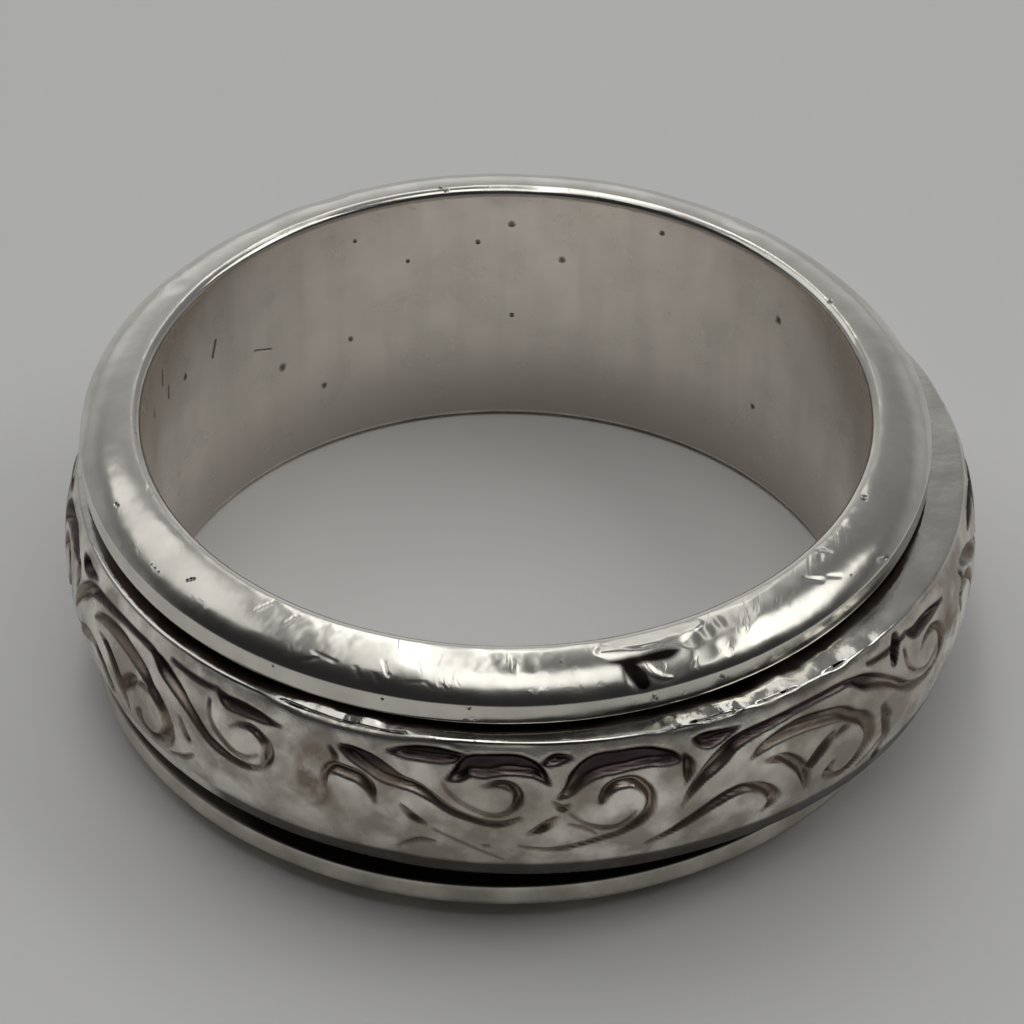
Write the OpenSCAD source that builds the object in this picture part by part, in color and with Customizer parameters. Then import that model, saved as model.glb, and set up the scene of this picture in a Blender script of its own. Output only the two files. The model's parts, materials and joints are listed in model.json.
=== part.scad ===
// Spinner ring, lying on its side as it does on a table.
// A plain inner band with two rolled rims carries a loose band with a scroll relief, which turns
// in the channel between the rims. The origin is the middle of the finger bore, and Z runs along it.

/* [Inner band] */
// Diameter of the finger bore
bore_d = 19; // [14:0.1:24]
// Height of the ring from rim to rim, along the bore
ring_h = 8; // [7:0.1:12]
// Wall of the sleeve in the channel between the rims
sleeve_wall = 0.5; // [0.4:0.05:0.8]
// Reach of each rolled rim, outward from the bore
rim_reach = 1.62; // [1.5:0.02:2.2]
// Thickness of each rolled rim, along the bore
rim_h = 1.25; // [0.9:0.05:1.5]
// Height of the straight side of each rolled rim
rim_side_h = 0.58; // [0.4:0.02:0.8]
// Rounding where the bore meets each rim
mouth_r = 0.25; // [0.1:0.01:0.35]

/* [Spinner band] */
// Radial play of the spinner band on the sleeve
side_play = 0.55; // [0.3:0.05:0.7]
// Play of the spinner band between the rims, both ends together
end_play = 1.2; // [0.4:0.05:1.4]
// Wall of the spinner band at its crisp edges
band_wall = 1.12; // [0.9:0.02:1.6]
// Swell of the spinner band's face beyond its crisp edges
face_swell = 0.43; // [0.2:0.01:0.7]
// Fall of the upper shoulder from the spinner band's bore to its crisp edge
shoulder_fall = 0.1; // [0.06:0.01:0.4]
// Height of the bevel along the lower edge of the spinner band's face
bevel_h = 0.42; // [0.3:0.01:0.6]
// Inset of the lower edge under the crisp edge
bevel_inset = 0.11; // [0.05:0.01:0.3]
// Depth of the scroll relief below the face
relief_depth = 0.35; // [0.15:0.01:0.45]

/* [Rest position] */
// Gap left on the side where the spinner band lies nearest to the sleeve
side_gap = 0.15; // [0.1:0.01:0.25]
// Gap left where the leaning spinner band comes nearest to a rim
end_gap = 0.12; // [0.08:0.01:0.18]

/* [Hidden] */
$fn = 180;

// The inner band and its channel
bore_r = bore_d / 2;
sleeve_r = bore_r + sleeve_wall;
rim_r = bore_r + rim_reach;
channel_h = ring_h - 2 * rim_h;
// The back of a rim is one arc, level where it leaves the mouth rounding, down to the straight side
rim_back_reach = rim_reach - mouth_r;
rim_back_fall = rim_h - rim_side_h;
rim_arc_r = (pow(rim_back_reach, 2) + pow(rim_back_fall, 2)) / (2 * rim_back_fall);

// The spinner band, which follows the sleeve and the channel
band_bore_r = sleeve_r + side_play;
band_h = channel_h - end_play;
edge_r = band_bore_r + band_wall;
face_r = edge_r + face_swell;
face_h = band_h - 2 * shoulder_fall;
face_arc_r = (pow(face_h / 2, 2) + pow(face_swell, 2)) / (2 * face_swell);
bevel_top = bevel_h - band_h / 2;
bevel_top_r = face_r - face_arc_r + sqrt(pow(face_arc_r, 2) - pow(bevel_top, 2));
lower_edge_r = edge_r - bevel_inset;

// The ground under the relief, a ring inside the band's wall, and where the cuts stop within it
ground_arc_r = face_arc_r - relief_depth;
ground_skin = 0.15;
cut_floor_r = edge_r - band_wall / 2;
ground_r = cut_floor_r - ground_skin;
cut_out_r = face_r + band_wall;

// The loose band lies pushed along X, and leans about X until it nearly meets both rims
band_shift = side_play - side_gap;
band_lean = asin((end_play / 2 - end_gap) / band_bore_r);

// The scroll relief: one repeat covers about a quarter of the band, and a stroke may run into the next.
// A stroke lists points along a groove as [bearing, height, width]. Bearings run from 0 to 94 over one
// repeat, and heights and widths are hundredths of the face's height. The repeats are not all equally
// long: REPEATS gives the bearing round the band, in degrees, where each one starts.
repeat_count = 4;
repeat_deg = 94;
REPEATS = [[0, 220], [94, 314], [188, 408], [282, 494], [376, 580], [470, 674]];
curve_steps = 2;
STEM = [[69.3, 46, 3], [72, 65, 9], [75.5, 79, 11], [81, 86, 6], [88, 88, 2.5]];
UPPER_SCROLL = [
    [90, 88, 2.5], [92.5, 86.8, 5.5], [96, 80.5, 10], [100.5, 68, 8.5], [105, 50.5, 7],
    [109, 45.5, 5.5], [113, 56, 8], [112.8, 69, 7], [110.3, 76, 4.5], [107.6, 71, 2]];
UPPER_SCROLL_LINE = [[10, 80, 2], [10.3, 69.5, 3.5], [11.8, 60.5, 3.5], [14.5, 53, 3.5], [17.3, 58, 2]];
UPPER_EYE = [[10.9, 88, 2], [12.6, 86, 7], [15, 85.5, 8], [18.5, 85, 4.5], [20.5, 84.5, 2]];
DASH = [[5.3, 56, 2], [5.9, 48, 5], [6.7, 40, 5.5]];
HOOK = [[26.7, 54, 3], [26.7, 62, 6], [28.2, 67, 7], [31, 65.5, 8], [32.4, 60, 7], [33, 51, 2.5]];
STEM_TO_MIDDLE_SCROLL = [
    [28.5, 84, 3], [30.5, 81, 9.5], [33.5, 74.5, 12], [37, 69, 8], [40, 61, 6], [43, 51.5, 5.5],
    [46.5, 45.5, 5], [50, 49.5, 3]];
MIDDLE_SCROLL = [
    [41.2, 71, 2], [43, 61, 3], [46.5, 52.5, 3], [49.3, 57.5, 5], [49.8, 66, 7], [48.2, 74, 5],
    [45.7, 72, 2]];
MIDDLE_EYE = [[34.3, 88, 2], [36, 89, 6], [39, 89.5, 8.5], [41, 90, 5], [42.4, 91, 2]];
SCROLL_GROUND = [
    [42, 76, 2.5], [43.2, 81, 8.5], [45.5, 85.5, 13.5], [49.5, 87, 12.5], [52, 83, 9], [53.6, 74, 2.5]];
FORK_GROUND = [[54.5, 64, 3], [56, 71, 8], [58.2, 81.5, 13], [62, 85.5, 13.5], [66, 85.5, 11], [68, 83, 4]];
LOW_SCROLL = [
    [59.5, 60, 5], [60.8, 69.5, 7], [63.5, 70.5, 7.5], [65.4, 59, 7.5], [65, 45.5, 7.5], [62, 33, 5],
    [57.5, 25.5, 5], [53, 22.5, 4], [50, 25.5, 2]];
LOW_SCROLL_LINE = [[55.9, 53, 2], [58, 43, 3], [61, 40, 3], [63.2, 46, 2.5]];
LEAF_CUT = [[51, 36.5, 2.5], [53, 43, 7], [54.3, 50, 3]];
LEAF_GROUND = [[69.4, 77, 3], [69.7, 71, 7], [69, 63, 2]];
THIRD_EYE = [[71, 90.5, 2.5], [72.6, 88, 9], [74.4, 89, 6.5], [76.6, 91, 2]];
ARCH_AND_ROUND_SCROLL = [
    [78.3, 67, 2.5], [81, 73, 7], [86, 75.5, 10], [91, 70, 10], [94.5, 58, 10.5], [96.8, 42, 11],
    [95.2, 22.5, 10], [92.3, 17, 8], [90.2, 25, 6.5], [90.7, 34, 3]];
FORK_STEM = [[80.2, 61, 2.5], [82.5, 58.5, 7], [84.5, 50, 10], [86.2, 36, 8.5], [86.9, 22, 3]];
FORK_BRANCH = [[86.6, 40.5, 8], [88, 47.5, 10], [89.4, 53.5, 8], [90.4, 59, 2.5]];
LOW_LEAF = [
    [65.5, 18.5, 3.5], [69, 27.5, 6.5], [73, 39, 8], [76.5, 45, 8.5], [79.5, 42, 8.5], [81.6, 31, 9.5],
    [80.8, 18, 4]];
STROKES = [
    STEM, UPPER_SCROLL, UPPER_SCROLL_LINE, UPPER_EYE, DASH, HOOK, STEM_TO_MIDDLE_SCROLL,
    MIDDLE_SCROLL, MIDDLE_EYE, SCROLL_GROUND, FORK_GROUND, LOW_SCROLL, LOW_SCROLL_LINE, LEAF_CUT,
    LEAF_GROUND, THIRD_EYE, ARCH_AND_ROUND_SCROLL, FORK_STEM, FORK_BRANCH, LOW_LEAF];

// A point on a smooth curve through b and c, at the share t of the way from b to c
function between(a, b, c, d, t) =
    b + t * (c - a) / 2 + t * t * (a - 2.5 * b + 2 * c - d / 2) + t * t * t * (3 * b - a - 3 * c + d) / 2;

// A stroke's points with smooth ones added between them
function smoothed(p) = [
    for (i = [0 : len(p) - 2], s = [0 : curve_steps - 1])
        between(p[max(i - 1, 0)], p[i], p[i + 1], p[min(i + 2, len(p) - 1)], s / curve_steps),
    p[len(p) - 1]];

// A stroke's points in one of the repeats, with their bearings round the band in degrees
function placed(p, k) = [for (q = p) [lookup(q[0] + k * repeat_deg, REPEATS), q[1], q[2]]];

// A stroke's points as [across, up, width] in millimetres, seen square on at its middle bearing
function laid_out(p, middle) = [
    for (q = p) [face_r * sin(q[0] - middle), face_h * (q[1] / 100 - 0.5), face_h * q[2] / 100]];

// The edge of a stroke on one side, which is 1 or -1
function stroke_edge(p, side) = [
    for (i = [0 : len(p) - 1])
        let (
            ahead = p[min(i + 1, len(p) - 1)] - p[max(i - 1, 0)],
            run = norm([ahead[0], ahead[1]]))
        [p[i][0] - side * ahead[1] / run * p[i][2] / 2, p[i][1] + side * ahead[0] / run * p[i][2] / 2]];

function reversed(p) = [for (i = [len(p) - 1 : -1 : 0]) p[i]];

// One groove of the relief, cut straight in towards the band's axis
module groove(stroke) {
    bearings = [for (q = stroke) q[0]];
    middle = (min(bearings) + max(bearings)) / 2;
    p = laid_out(smoothed(stroke), middle);
    rotate([0, 0, middle])
        translate([cut_floor_r, 0, 0])
            rotate([90, 0, 90])
                linear_extrude(height = cut_out_r - cut_floor_r)
                    polygon(concat(stroke_edge(p, 1), reversed(stroke_edge(p, -1))));
}

// Half of the rolled rim's section, from the mouth rounding out to the rim's side
module rim_section() {
    translate([bore_r + mouth_r, ring_h / 2 - mouth_r])
        circle(r = mouth_r);
    intersection() {
        translate([bore_r + mouth_r, ring_h / 2 - rim_arc_r])
            circle(r = rim_arc_r);
        translate([bore_r + mouth_r, channel_h / 2])
            square([rim_back_reach, rim_h]);
    }
}

// The sleeve and both rims in one piece
module inner_band() {
    color([0.78, 0.77, 0.75])
        rotate_extrude() {
            translate([bore_r, mouth_r - ring_h / 2])
                square([sleeve_wall, ring_h - 2 * mouth_r]);
            rim_section();
            mirror([0, 1])
                rim_section();
        }
}

// The spinner band's section, with its face swelled to an arc above the bevel
module band_section() {
    intersection() {
        translate([face_r - face_arc_r, 0])
            circle(r = face_arc_r);
        translate([band_bore_r, bevel_top])
            square([face_r, face_h / 2 - bevel_top]);
    }
    polygon([
        [band_bore_r, -band_h / 2], [lower_edge_r, -band_h / 2], [bevel_top_r, bevel_top],
        [edge_r, face_h / 2], [band_bore_r, band_h / 2]]);
}

// The ground that shows at the bottom of the relief, within the band's wall
module ground_section() {
    intersection() {
        translate([face_r - face_arc_r, 0])
            circle(r = ground_arc_r);
        translate([ground_r, ground_skin - face_h / 2])
            square([face_r, face_h - 2 * ground_skin]);
    }
}

// The loose band, with its relief running round it, as it lies in the channel
module spinner_band() {
    color([0.55, 0.53, 0.5])
        translate([band_shift, 0, 0])
            rotate([-band_lean, 0, 0]) {
                difference() {
                    rotate_extrude()
                        band_section();
                    for (k = [0 : repeat_count - 1], stroke = STROKES)
                        groove(placed(stroke, k));
                }
                rotate_extrude()
                    ground_section();
            }
}

inner_band();
spinner_band();
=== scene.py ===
"""A silver spinner ring on a pale table.

A plain inner band with two rolled rims carries a loose band with a scroll relief. Lengths are in
millimetres until a piece is finished. The finished pieces, the camera and the lights are in metres.
"""

import json
import math

import bmesh
import bpy
import numpy as np
from mathutils import Matrix, Vector, noise


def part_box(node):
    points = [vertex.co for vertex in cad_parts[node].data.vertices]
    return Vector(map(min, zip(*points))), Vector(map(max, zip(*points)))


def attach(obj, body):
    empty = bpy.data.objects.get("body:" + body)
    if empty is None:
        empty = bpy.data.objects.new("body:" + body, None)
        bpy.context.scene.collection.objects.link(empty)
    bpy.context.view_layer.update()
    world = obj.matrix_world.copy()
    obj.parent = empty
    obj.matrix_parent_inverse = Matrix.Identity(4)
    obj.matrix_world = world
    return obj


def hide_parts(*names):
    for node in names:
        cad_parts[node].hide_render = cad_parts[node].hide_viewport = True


MM = 0.001
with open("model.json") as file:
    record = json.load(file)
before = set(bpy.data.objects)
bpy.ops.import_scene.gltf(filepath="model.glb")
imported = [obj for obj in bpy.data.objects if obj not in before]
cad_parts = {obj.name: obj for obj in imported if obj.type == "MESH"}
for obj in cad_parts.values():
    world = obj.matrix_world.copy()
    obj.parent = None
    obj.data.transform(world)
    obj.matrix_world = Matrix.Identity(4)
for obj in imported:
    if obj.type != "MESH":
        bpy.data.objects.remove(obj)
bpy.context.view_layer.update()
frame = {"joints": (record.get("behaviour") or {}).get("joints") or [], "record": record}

# Sizes that the solids give
inner_low, inner_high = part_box("inner_band")
bore_radius = frame["record"]["mounts"][0]["dims"]["r_mm"]
rim_radius = inner_high.x / MM
half_height = inner_high.z / MM
spin = frame["joints"][0]
band_centre = Vector(spin["pos_m"])
band_axis = Vector(spin["axis"])

# Sizes of the inner band
sleeve_wall = 0.5
rim_thickness = 1.25
rim_side = 0.58
mouth_rounding = 0.25
lip_rounding = 0.05

# Sizes of the spinner band
side_play = 0.55
band_wall = 1.12
face_swell = 0.43
band_half_height = 2.15
face_half_height = 2.05
bevel_height = 0.42
lower_edge_inset = 0.05
lower_edge_drop = 0.09
lower_edge_width = 0.32
edge_rounding = 0.06
corner_rounding = 0.09

# Sizes of the relief. A thin groove is shallower than a wide one: it has the least share of the depth,
# and the rest comes with its half width.
relief_depth = 0.22
least_depth_share = 0.3
deepening_half_width = 0.2
groove_wall = 0.14
groove_wall_start = -0.014

# How finely the bands are divided round, and how close together points are welded
steps_round = 1120
steps_in_a_wedge = 40
weld_gap = 0.0005

# How far past a groove's ends, and to each side of the middle of a line on the rim, points are looked at
groove_reach = 0.9
rim_line_reach = 2.5

# How far inside a groove a point counts as lying when none is near
FAR_OFF = -9.0

# Sizes that follow from the ones above
sleeve_radius = bore_radius + sleeve_wall
crest_radius = bore_radius + mouth_rounding
rim_back_reach = rim_radius - crest_radius
rim_back_fall = rim_thickness - rim_side
rim_back_radius = (rim_back_reach**2 + rim_back_fall**2) / (2 * rim_back_fall)
rim_back_length = rim_back_radius * math.asin(rim_back_reach / rim_back_radius)
channel_half_height = half_height - rim_thickness
lip_height = channel_half_height + lip_rounding
band_bore_radius = sleeve_radius + side_play
band_edge_radius = band_bore_radius + band_wall
bevel_top = bevel_height - band_half_height
face_radius = band_edge_radius + face_swell
face_height = 2 * face_half_height

# The length of one degree round the rim's back and round the face
rim_degree = math.radians(1) * (crest_radius + rim_back_reach / 2)
face_degree = math.radians(1) * face_radius

# The scroll relief. One repeat covers about a quarter of the band, and a groove may run into the
# next. A groove lists points as (bearing, height, width). Bearings run from 0 to 94 over one repeat,
# and heights and widths are hundredths of the face's height. The repeats are not all equally long:
# REPEAT_STARTS gives the bearing round the band, in degrees, where each one starts, on past a full turn.
REPEAT_COUNT = 4
REPEAT_LENGTH = 94
REPEAT_STARTS = (220, 314, 408, 494, 580, 674)
GROOVES = {
    "stem and upper scroll": [
        (69.3, 46, 2), (70.5, 56, 6), (72, 65, 8.5), (74, 73, 11), (76, 80.5, 9), (78.5, 84, 7),
        (81, 85.5, 5.5), (86, 87.5, 4), (92, 87.5, 4), (94, 85.5, 5), (96, 80.5, 10.5), (98, 75.5, 10),
        (100, 69.5, 8.5), (102, 62, 8), (104, 53.5, 7.5), (106, 48.5, 7), (108, 46, 5.5), (110, 46, 5),
        (112, 49.5, 4), (113, 58.5, 8), (113, 67, 8), (112.1, 72.5, 6), (110.5, 76, 4.5),
        (108.8, 74.5, 3), (107.5, 70, 1.5)],
    "upper scroll line": [
        (10, 80.5, 2), (10.3, 69.5, 3), (11.6, 61, 3.5), (14, 53.2, 3.5), (16, 53.2, 3), (17.7, 59, 1.5)],
    "upper eye": [
        (10.9, 90, 1.5), (12.5, 85.5, 7.5), (14.5, 85.5, 8), (16.5, 85.5, 7), (18.5, 85, 4.5),
        (20.5, 84.5, 1.5)],
    "recess": [(3, 90, 2), (6, 88.5, 3), (9, 88.5, 3), (11, 90, 2)],
    "dash": [(5.3, 56, 1.5), (5.8, 49, 5), (6.6, 41.5, 5.5)],
    "low groove": [(2, 13.5, 2.5), (5, 20.5, 4), (7.2, 30.5, 2)],
    "hook": [
        (26.7, 53.5, 3), (26.6, 62, 6), (27.5, 68.5, 7.5), (29.5, 68, 8.5), (31, 66.5, 8.5),
        (32.3, 61, 7.5), (33, 51, 2.5)],
    "small cut": [(27.1, 81.5, 2), (27.9, 75.5, 3.5), (27, 69.5, 2)],
    "stem to middle scroll": [
        (28.5, 84, 3), (30, 81.5, 8.5), (32, 78, 12), (34, 73, 12), (36, 69.5, 8.5), (38, 67, 7.5),
        (40, 61, 6), (42, 53.5, 5.5), (44, 49, 5), (46, 45.5, 4.5), (48, 45, 5), (50, 49.5, 3)],
    "middle scroll": [
        (41.1, 72, 1.5), (41.6, 68, 2.5), (43, 61, 3), (45, 55, 3), (46.8, 52, 3), (48, 52.5, 3.5),
        (49, 56, 4), (49.9, 63.5, 7), (49.5, 71, 6), (48.3, 74.5, 5), (47, 74.5, 3.5), (45.7, 72, 1.5)],
    "middle eye": [(34.3, 88, 1.5), (36, 89, 6), (38, 90, 8.5), (40, 90, 9), (42, 90, 7), (43.6, 91, 2)],
    "scroll ground": [
        (41.6, 75.5, 2.5), (42.8, 79, 8.5), (44, 85, 12.5), (46, 85.5, 14), (48, 87, 12.5), (50, 86.5, 12),
        (52, 83, 8.5), (53.5, 74.5, 2.5)],
    "short dash": [(36.2, 52.5, 2.5), (37.5, 45, 5.5), (39, 40.5, 2.5)],
    "faint trail": [(40, 36.5, 1.5), (44, 24.5, 2), (48, 12, 1.5)],
    "low small leaf": [(35.5, 14.5, 2), (38, 24.5, 4), (40, 25.5, 2)],
    "low pit": [(46, 24.5, 3), (46.4, 24.5, 3)],
    "top notch": [(52.5, 87, 2), (54.2, 90, 6.5), (56, 91, 2)],
    "bud": [(54, 61, 2.5), (55, 56.5, 5), (55.8, 59, 2.5)],
    "fork ground": [
        (54.5, 64.5, 3), (55.8, 69.5, 7.5), (57, 78, 12), (59, 84, 14.5), (62, 85.5, 13.5), (65, 86, 12),
        (67.5, 83, 9.5), (69, 80.5, 4)],
    "leaf ground": [(69.7, 82, 2.5), (70.2, 73, 8.5), (69.7, 61.5, 1.5)],
    "third eye": [(71, 90, 2.5), (72.5, 88, 9.5), (74, 88, 8.5), (76.8, 90.5, 1.5)],
    "low scroll": [
        (59.5, 60, 5), (60.2, 67, 7), (61.5, 71, 7.5), (63.5, 71, 7.5), (65, 63.5, 7.5), (65.5, 56, 7),
        (65.2, 47.5, 7.5), (64, 40, 7), (62, 33, 5), (60, 29.5, 5), (57.5, 25.5, 5), (55, 22.5, 4.5),
        (52.5, 22.5, 3.5), (50, 25.5, 2)],
    "low scroll line": [
        (55.8, 52.5, 1.5), (57.5, 44, 2.5), (59.5, 39, 3.5), (61.5, 38.5, 3.5), (62.8, 43, 3),
        (63.6, 49, 1.5)],
    "short line": [(55.7, 44, 1.5), (57.5, 40, 3), (59, 34, 1.5)],
    "leaf cut": [(51, 36.5, 2.5), (53, 42.5, 7), (54.3, 50, 2.5)],
    "arch and round scroll": [
        (78.3, 67, 2.5), (80, 72, 6), (83, 75.5, 8.5), (86, 75.5, 10), (89, 73, 10), (92, 68.5, 10),
        (93.8, 61, 10), (95.5, 55, 11), (96.6, 46.5, 11), (96.9, 36.5, 11), (96, 27, 11), (94.5, 19.5, 9.5),
        (92.5, 17, 7.5), (90.7, 20.5, 7), (90, 27, 7), (90.7, 34, 3)],
    "fork stem": [
        (80.2, 61, 2.5), (82.5, 58.5, 7), (84, 52.5, 9.5), (85.4, 44, 9.5), (86.3, 34, 8.5), (86.9, 22, 3)],
    "fork branch": [(86.6, 40.5, 8), (88, 47.5, 9.5), (89.3, 53.5, 8.5), (90.4, 59, 2.5)],
    "small wedge": [(90.8, 55, 3), (92, 57.5, 4.5), (93, 56, 2)],
    "low leaf": [
        (65.5, 18.5, 3.5), (68, 24.5, 6), (70, 30.5, 7.5), (72, 36.5, 7.5), (74, 41.5, 8.5), (76, 45, 8.5),
        (78, 45, 7.5), (80, 40, 8.5), (81.5, 31.5, 9.5), (81.8, 24.5, 9.5), (80.8, 17.5, 4)],
}

# Grooves that only one place on the band has, with their bearings round the band in degrees
LONE_GROOVES = {
    "long wedge": [(318.8, 55, 2), (319.6, 44, 6), (320.6, 29, 7.5), (321, 19.5, 8.5), (320.3, 9, 10)],
    "top cut": [(322.8, 92, 7), (322, 83, 7.5), (321.7, 78, 5)],
}

# Hollows in the upper rim: (name, bearing, distance, half length, inner reach, outer reach, depth).
# A distance runs outward along the rim's back from its crest. The reaches run the same way.
RIM_HOLLOWS = [
    ("gash", 287.7, 1.05, 0.38, 0.42, 0.7, 0.04),
    ("bowl", 291.4, 0.95, 0.8, 0.36, 0.6, 0.03),
    ("hollow 1", 296.3, 0.55, 0.28, 0.3, 0.3, 0.018),
    ("hollow 2", 298.9, 0.5, 0.2, 0.36, 0.28, 0.015),
    ("hollow 3", 301.3, 0.38, 0.16, 0.22, 0.26, 0.016),
    ("hollow 4", 304.6, 0.5, 0.4, 0.35, 0.3, 0.01),
    ("hollow 5", 297.2, 1.05, 0.4, 0.25, 0.25, 0.012),
    ("hollow 6", 300.6, 0.98, 0.3, 0.2, 0.25, 0.01),
    ("flat 1", 235.5, 0.45, 0.7, 0.45, 0.55, 0.012),
    ("flat 2", 241.6, 0.8, 0.6, 0.5, 0.45, 0.014),
    ("far dent 1", 52, 0.6, 0.7, 0.5, 0.6, 0.03),
    ("far dent 2", 118, 0.9, 0.8, 0.5, 0.6, 0.035),
    ("far dent 3", 151, 0.5, 0.5, 0.4, 0.5, 0.025),
]

# Nicks and raised lips on the upper rim: (name, depth, points). A negative depth is raised, and a
# point is (bearing, distance, width), with the same distances.
RIM_MARKS = [
    ("inner lip", -0.055, [
        (283.4, 0.35, 0.2), (285.5, 0.3, 0.5), (290, 0.34, 0.55), (295, 0.3, 0.4), (298.5, 0.2, 0.2)]),
    ("crescent", -0.02, [
        (288.7, 0.78, 0.1), (289.2, 1.05, 0.16), (290.4, 1.26, 0.14), (291.6, 1.34, 0.08)]),
    ("lip's crease", 0.02, [(284.2, 0.14, 0.06), (287.5, 0.4, 0.08), (292, 0.44, 0.08), (298, 0.14, 0.06)]),
    ("bright nick 1", 0.02, [(322.9, 0.08, 0.1), (323.5, 0.36, 0.12)]),
    ("bright nick 2", 0.015, [(321, 0.36, 0.08), (322.2, 0.22, 0.1)]),
    ("bright nick 3", 0.02, [(316.9, 0.46, 0.12), (318.6, 0.74, 0.14)]),
    ("faint nick", 0.01, [(320, 0.78, 0.1), (321.5, 0.98, 0.12)]),
    ("edge nick", 0.04, [(328.8, 1.4, 0.14), (329.8, 1.5, 0.16)]),
    ("scratch 1", 0.008, [(244.1, 0.96, 0.06), (247.6, 1.04, 0.08)]),
    ("scratch 2", 0.012, [(243.6, 1.25, 0.07), (245, 1.08, 0.08)]),
    ("scratch 3", 0.01, [(250.4, 1.04, 0.05), (251.3, 1.28, 0.07)]),
    ("scratch 4", 0.014, [(253.8, 0.72, 0.06), (254.9, 1.08, 0.08)]),
    ("scratch 5", 0.01, [(253.1, 1.1, 0.05), (253.8, 1.28, 0.07)]),
    ("scratch 6", 0.004, [(257.4, 1.18, 0.06), (259.8, 1.1, 0.08)]),
    ("scratch 7", 0.004, [(260, 1.12, 0.06), (260.9, 1.26, 0.08)]),
    ("scratch 8", 0.004, [(262, 1.12, 0.06), (262.8, 1.26, 0.08)]),
    ("scratch 9", 0.01, [(235, 0.1, 0.05), (233.6, 0.55, 0.08)]),
    ("scratch 10", 0.01, [(239.4, 0.2, 0.05), (238.6, 0.6, 0.08)]),
]

# Painted shade in the deep damage of the upper rim, standing for its shadow and dark reflection: lines of
# (bearing, distance, width), with the same distances
RIM_DAMAGE_SHADE = [
    [(284.1, 0.66, 0.04), (285.4, 0.7, 0.14), (287, 0.75, 0.26), (288.7, 0.74, 0.22), (290.4, 0.75, 0.26),
     (292.4, 0.76, 0.28), (293.8, 0.74, 0.1)],
    [(285.9, 0.78, 0.14), (286.7, 0.9, 0.36), (287.5, 1.1, 0.46), (288, 1.32, 0.4)],
]

# How far out along the rim's straight side the painted shade begins: (bearing, distance)
SIDE_SHADE_STARTS = [
    (268, 2.12), (276, 2.06), (282, 1.98), (287, 1.87), (290, 1.92), (302, 1.96), (312, 1.88), (330, 1.84),
]

# Pits in the upper rim: (bearing, distance, radius), with the same distances
RIM_PITS = [
    (221.9, 0.84, 0.05), (222.2, 0.77, 0.06), (222.5, 0.71, 0.05), (202.2, 0.96, 0.06),
    (202.7, 0.94, 0.06), (215.4, 1.14, 0.03), (216.3, 1.14, 0.035), (217.2, 1.15, 0.035),
    (289.1, 1.74, 0.07), (289.5, 1.82, 0.06), (298.5, 1.73, 0.06), (298.8, 1.78, 0.05),
    (265.7, 1.65, 0.05), (336.6, 0.16, 0.09), (337.4, 0.14, 0.08), (323.1, 1.14, 0.04),
    (100.2, -0.1, 0.08), (101, 0.02, 0.07), (26.8, 0, 0.09), (187.2, -0.12, 0.04),
    (188.3, -0.13, 0.05), (189.2, -0.13, 0.04), (277.8, 0.5, 0.03), (254.7, 1.7, 0.04),
    (239.6, 1.66, 0.04),
]

# Where wear has left the rim's back rough: (bearing, half width in degrees, distance, half width)
ROUGH_PATCHES = [
    (241, 9, 0.6, 0.7), (273, 10, 0.5, 0.4), (330, 12, 0.3, 0.4), (130, 20, 0.8, 0.6),
]

# Dents in the spinner band's crisp upper edge and shoulder: (bearing, half width in degrees, depth)
EDGE_DENTS = [
    (229, 3, 0.02), (242.5, 4.5, 0.1), (247.6, 3.5, 0.12), (252.5, 5, 0.12), (262, 3, 0.02),
    (289, 2.5, 0.04), (292.5, 2.2, 0.05), (296.5, 3, 0.04), (301.5, 2.5, 0.06), (305.5, 1.8, 0.05),
    (309.5, 2.4, 0.05), (314, 2, 0.04), (318.5, 1.6, 0.05), (331, 3, 0.05), (12, 4, 0.04),
    (58, 5, 0.05), (97, 4, 0.04), (141, 6, 0.05), (178, 3, 0.04),
]

# Where the spinner band's upper shoulder was struck: (bearing, half width in degrees)
STRUCK_SHOULDER = [(250, 6), (301, 14), (97, 6), (178, 5)]

# Brown blotches on the spinner band's face: (bearing, half width in degrees, height, half height)
STAINS = [(245.3, 2.4, 0.3, 0.95), (336, 3, 0.2, 0.8), (58, 3, 0.1, 1), (151, 4, -0.2, 0.9)]

# Pits in the bore: (bearing in degrees, height, radius)
BORE_PITS = [
    (89.3, 2.84, 0.1), (95, 2.24, 0.07), (80.7, 1.7, 0.1), (107.1, 1.84, 0.06), (116.5, 2.94, 0.06),
    (89.2, -0.34, 0.07), (117.7, -0.41, 0.08), (123, -1.73, 0.09), (131.4, -0.44, 0.13), (38.5, 2.24, 0.12),
    (43.4, -1.26, 0.09), (63.2, 3.3, 0.08), (156.3, 1.78, 0.11),
]

# Short slashes in the bore: (bearing and height of one end, of the other end, half width)
BORE_SLASHES = [
    ((147.9, 1.52), (146.9, 1.96), 0.06), ((165.2, 2.6), (164.9, 3), 0.07),
    ((162.9, 1.88), (162.7, 2.2), 0.07), ((170.2, 2.16), (170, 2.34), 0.07),
    ((137.4, 0.66), (133.8, 0.4), 0.035),
]

# Lumps that casting and wear have left, in layers of (size, height, seed of the noise)
BOTH_RIMS_LUMPS = [(2.6, 0.02, 1), (0.9, 0.007, 2)]
UPPER_RIM_LUMPS = [(0.35, 0.0025, 3)]
LOWER_RIM_LUMPS = [(0.7, 0.008, 4)]
FACE_LUMPS = [(1.3, 0.03, 5), (0.45, 0.013, 6), (0.2, 0.003, 11)]
SHOULDER_LUMPS = [(1.6, 0.008, 7)]
STRUCK_LUMPS = [(0.7, 0.05, 8), (0.25, 0.015, 12)]
SEED_STEPS = (7.3, 3.1, 5.7)

# The grain of the rough patches: places are counted in lumps, so many to a degree round the rim and so
# many to a millimetre across it, and the sizes of the layers are counted in lumps too
ROUGH_GRAIN = (0.6, 2.4)
ROUGH_LUMPS = [(1, 0.006, 9), (1 / 2.3, 0.002, 10)]

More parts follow.
